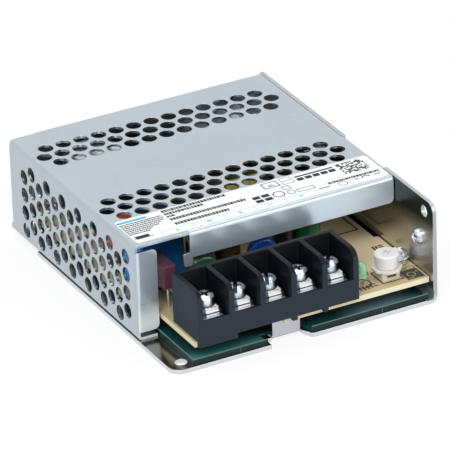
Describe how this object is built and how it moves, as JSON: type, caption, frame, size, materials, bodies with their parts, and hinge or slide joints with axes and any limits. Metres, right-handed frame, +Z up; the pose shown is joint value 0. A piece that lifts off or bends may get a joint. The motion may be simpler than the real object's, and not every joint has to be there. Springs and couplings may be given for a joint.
{
  "type": "power supply",
  "caption": "Enclosed panel-mount switching power supply: bent chassis, perforated folded cover, open front bay with barrier terminal block, output adjuster and lamp.",
  "frame": {"origin": "centre of the footprint, on the mounting plane under the base plate", "axes": "-Y towards the terminal end, +X along the terminal row towards the chassis wall, +Z up"},
  "size_m": [0.082, 0.099, 0.0301],
  "materials": {
    "cover_steel": "zinc-coated sheet, satin",
    "chassis_aluminium": "mill-finished sheet, bright",
    "can_aluminium": "drawn can, satin",
    "zinc_steel": "bright zinc plating",
    "green_film": "thin sheet, satin",
    "label_film": "printed film label",
    "board_laminate": "bare paper laminate",
    "terminal_plastic": "moulded, fine matt",
    "cream_plastic": "moulded",
    "white_plastic": "moulded",
    "green_lens": "tinted lens",
    "maroon_epoxy": "moulded case",
    "blue_epoxy": "moulded case",
    "red_brown_epoxy": "moulded case",
    "green_epoxy": "dipped coating",
    "ceramic": "tube with metal caps",
    "ferrite": "ground ferrite",
    "copper": "enamelled wire",
    "black_plastic": "moulded",
    "green_sleeve": "shrink sleeve",
    "black_sleeve": "shrink sleeve",
    "yellow_tape": "wound tape",
    "resistor_body": "painted body"
  },
  "bodies": {
    "case": {"chassis": "chassis_aluminium", "cover": "cover_steel", "cover_screws": "zinc_steel", "insulation_film": "green_film", "rating_label": "label_film", "circuit_board": "board_laminate", "board_standoffs": "zinc_steel", "board_screws": "zinc_steel", "wall_screw": "zinc_steel", "terminal_housing": "terminal_plastic", "terminal_contacts": "zinc_steel", "trimmer_base": "cream_plastic", "status_led": "green_lens", "led_leads": "zinc_steel", "film_capacitor": "maroon_epoxy", "x_capacitor": "blue_epoxy", "rear_film_capacitor": "red_brown_epoxy", "input_fuse": "ceramic", "inrush_thermistor": "green_epoxy", "choke_core": "ferrite", "choke_windings": "copper", "y_capacitor": "blue_epoxy", "auxiliary_capacitor": "black_plastic", "output_capacitor_sleeves": "green_sleeve", "output_capacitor_cans": "can_aluminium", "bulk_capacitor_sleeve": "black_sleeve", "bulk_capacitor_can": "can_aluminium", "transformer_core": "ferrite", "transformer_bobbin": "black_plastic", "transformer_winding": "yellow_tape", "bridge_rectifier": "black_plastic", "heat_sink": "chassis_aluminium", "power_transistor": "black_plastic", "output_rectifier": "black_plastic", "device_screws": "zinc_steel", "output_choke": "ferrite", "optocoupler": "white_plastic", "resistors": "resistor_body"},
    "terminal_1": {"terminal_screw_1": "zinc_steel", "clamp_plate_1": "zinc_steel"},
    "terminal_2": {"terminal_screw_2": "zinc_steel", "clamp_plate_2": "zinc_steel"},
    "terminal_3": {"terminal_screw_3": "zinc_steel", "clamp_plate_3": "zinc_steel"},
    "terminal_4": {"terminal_screw_4": "zinc_steel", "clamp_plate_4": "zinc_steel"},
    "terminal_5": {"terminal_screw_5": "zinc_steel", "clamp_plate_5": "zinc_steel"},
    "adjuster": {"trimmer_knob": "white_plastic"}
  },
  "joints": [
    {"name": "terminal_1_clamp", "type": "slide", "parent": "case", "child": "terminal_1", "axis": [0, 0, 1], "range_m": [0, 0.0024]},
    {"name": "terminal_2_clamp", "type": "slide", "parent": "case", "child": "terminal_2", "axis": [0, 0, 1], "range_m": [0, 0.0024]},
    {"name": "terminal_3_clamp", "type": "slide", "parent": "case", "child": "terminal_3", "axis": [0, 0, 1], "range_m": [0, 0.0024]},
    {"name": "terminal_4_clamp", "type": "slide", "parent": "case", "child": "terminal_4", "axis": [0, 0, 1], "range_m": [0, 0.0024]},
    {"name": "terminal_5_clamp", "type": "slide", "parent": "case", "child": "terminal_5", "axis": [0, 0, 1], "range_m": [0, 0.0024]},
    {"name": "adjuster_turn", "type": "hinge", "parent": "case", "child": "adjuster", "pos_m": [0.0299, -0.041, 0.0105], "axis": [0, 0, 1], "range_deg": [-130, 130]}
  ]
}
